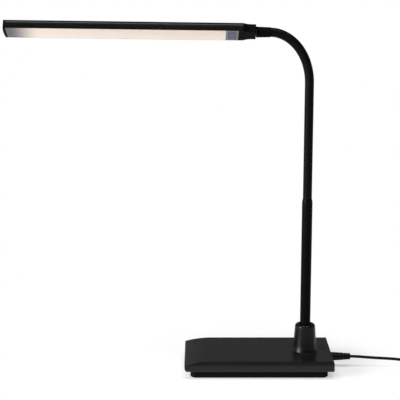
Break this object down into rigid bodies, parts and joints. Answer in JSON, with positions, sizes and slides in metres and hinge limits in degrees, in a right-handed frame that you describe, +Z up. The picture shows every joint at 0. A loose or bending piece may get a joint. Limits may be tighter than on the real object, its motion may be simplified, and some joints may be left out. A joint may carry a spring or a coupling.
{
  "type": "desk lamp",
  "caption": "Desk lamp with a weighted slab base, a rigid lower tube, a bendable neck and a swivelling light bar with an opal diffuser and a power key.",
  "frame": {"origin": "on the desk, under the middle of the base, in the middle of the non-slip pad's underside", "axes": "+Z up; +X towards the rear of the lamp, where the cord leaves the base, so the light bar reaches out over -X at rest; +Y completes the right-handed frame"},
  "size_m": [0.5283, 0.112, 0.4079],
  "materials": {
    "base_abs": "satin",
    "cover_abs": "matte",
    "pad_rubber": "matte",
    "weight_iron": "matte",
    "zinc_steel": "satin",
    "collar_abs": "gloss",
    "tube_enamel": "satin",
    "nut_brass": "satin",
    "socket_plastic": "matte",
    "board_fibreglass": "satin",
    "component_plastic": "satin",
    "lead_vinyl": "satin",
    "neck_silicone": "satin",
    "core_steel": "satin",
    "ferrule_abs": "satin",
    "bar_abs": "satin",
    "board_aluminium": "matte",
    "emitter_phosphor": "satin",
    "diffuser_opal": "matte",
    "panel_plastic": "satin",
    "key_plastic": "satin",
    "contact_steel": "satin",
    "plug_vinyl": "matte",
    "plug_nickel": "polished",
    "cord_vinyl": "satin",
    "tie_nylon": "matte"
  },
  "bodies": {
    "base": {"base_top_shell": "base_abs", "base_bottom_cover": "cover_abs", "non_slip_pad": "pad_rubber", "counterweight_plate": "weight_iron", "weight_screws": "zinc_steel", "base_screws": "zinc_steel", "stem_collar": "collar_abs", "lower_tube": "tube_enamel", "tube_washer": "zinc_steel", "tube_locknut": "nut_brass", "dc_socket": "socket_plastic", "driver_board": "board_fibreglass", "driver_components": "component_plastic", "board_screws": "zinc_steel", "base_leads": "lead_vinyl", "neck_root_sleeve": "neck_silicone", "neck_root_core": "core_steel", "dc_plug": "plug_vinyl", "plug_barrel": "plug_nickel", "cord_run": "cord_vinyl", "cord_coil": "cord_vinyl", "cord_tail": "cord_vinyl", "cord_tie": "tie_nylon", "supply_plug": "plug_vinyl", "supply_plug_shell": "plug_nickel"},
    "neck_1": {"neck_sleeve_1": "neck_silicone", "neck_core_1": "core_steel"},
    "neck_2": {"neck_sleeve_2": "neck_silicone", "neck_core_2": "core_steel"},
    "neck_3": {"neck_sleeve_3": "neck_silicone", "neck_core_3": "core_steel"},
    "neck_4": {"neck_sleeve_4": "neck_silicone", "neck_core_4": "core_steel"},
    "neck_5": {"neck_sleeve_5": "neck_silicone", "neck_core_5": "core_steel"},
    "neck_6": {"neck_sleeve_6": "neck_silicone", "neck_core_6": "core_steel"},
    "neck_7": {"neck_sleeve_7": "neck_silicone", "neck_core_7": "core_steel"},
    "neck_8": {"neck_sleeve_8": "neck_silicone", "neck_core_8": "core_steel"},
    "neck_9": {"neck_sleeve_9": "neck_silicone", "neck_core_9": "core_steel", "swivel_ferrule": "ferrule_abs"},
    "light_bar": {"swivel_pin": "core_steel", "bar_neck": "bar_abs", "bar_housing": "bar_abs", "tip_cap": "bar_abs", "led_board": "board_aluminium", "led_emitters": "emitter_phosphor", "diffuser": "diffuser_opal", "switch_panel": "panel_plastic", "key_board": "board_fibreglass", "key_contact": "contact_steel", "bar_lead": "lead_vinyl"},
    "power_key": {"power_key": "key_plastic"}
  },
  "joints": [
    {"name": "neck_lean", "type": "hinge", "parent": "base", "child": "neck_1", "pos_m": [0.0555, 0, 0.2165], "axis": [0, -1, 0], "range_deg": [-15, 15]},
    {"name": "neck_sway", "type": "hinge", "parent": "neck_1", "child": "neck_2", "pos_m": [0.0555, 0, 0.2465], "axis": [1, 0, 0], "range_deg": [-20, 20]},
    {"name": "neck_lean_upper", "type": "hinge", "parent": "neck_2", "child": "neck_3", "pos_m": [0.0555, 0, 0.2765], "axis": [0, -1, 0], "range_deg": [-15, 15]},
    {"name": "neck_sway_upper", "type": "hinge", "parent": "neck_3", "child": "neck_4", "pos_m": [0.0555, 0, 0.3065], "axis": [1, 0, 0], "range_deg": [-20, 20]},
    {"name": "neck_curl", "type": "hinge", "parent": "neck_4", "child": "neck_5", "pos_m": [0.0555, 0, 0.3365], "axis": [0, -1, 0], "range_deg": [-17.85, 9]},
    {"name": "neck_curl_2", "type": "hinge", "parent": "neck_5", "child": "neck_6", "pos_m": [0.05203, 0, 0.35857], "axis": [0, -1, 0], "range_deg": [-17.85, 9]},
    {"name": "neck_curl_3", "type": "hinge", "parent": "neck_6", "child": "neck_7", "pos_m": [0.04368, 0, 0.37512], "axis": [0, -1, 0], "range_deg": [-17.85, 9]},
    {"name": "neck_curl_4", "type": "hinge", "parent": "neck_7", "child": "neck_8", "pos_m": [0.03287, 0, 0.38608], "axis": [0, -1, 0], "range_deg": [-17.85, 9]},
    {"name": "neck_curl_5", "type": "hinge", "parent": "neck_8", "child": "neck_9", "pos_m": [0.02154, 0, 0.39198], "axis": [0, -1, 0], "range_deg": [-17.85, 9]},
    {"name": "bar_swivel", "type": "hinge", "parent": "neck_9", "child": "light_bar", "pos_m": [-0.00541, 0, 0.39398], "axis": [0.9999, 0, -0.0131], "range_deg": [-62, 118]},
    {"name": "key_press", "type": "slide", "parent": "light_bar", "child": "power_key", "axis": [0.0116, 0.4695, 0.8829], "range_m": [0, 0.0006], "stiffness_N_per_m": 400, "springref_m": -0.0008}
  ],
  "couplings": [
    {"joint": "neck_lean_upper", "follows": "neck_lean", "ratio": 1},
    {"joint": "neck_sway_upper", "follows": "neck_sway", "ratio": 1},
    {"joint": "neck_curl_2", "follows": "neck_curl", "ratio": 1},
    {"joint": "neck_curl_3", "follows": "neck_curl", "ratio": 1},
    {"joint": "neck_curl_4", "follows": "neck_curl", "ratio": 1},
    {"joint": "neck_curl_5", "follows": "neck_curl", "ratio": 1}
  ]
}
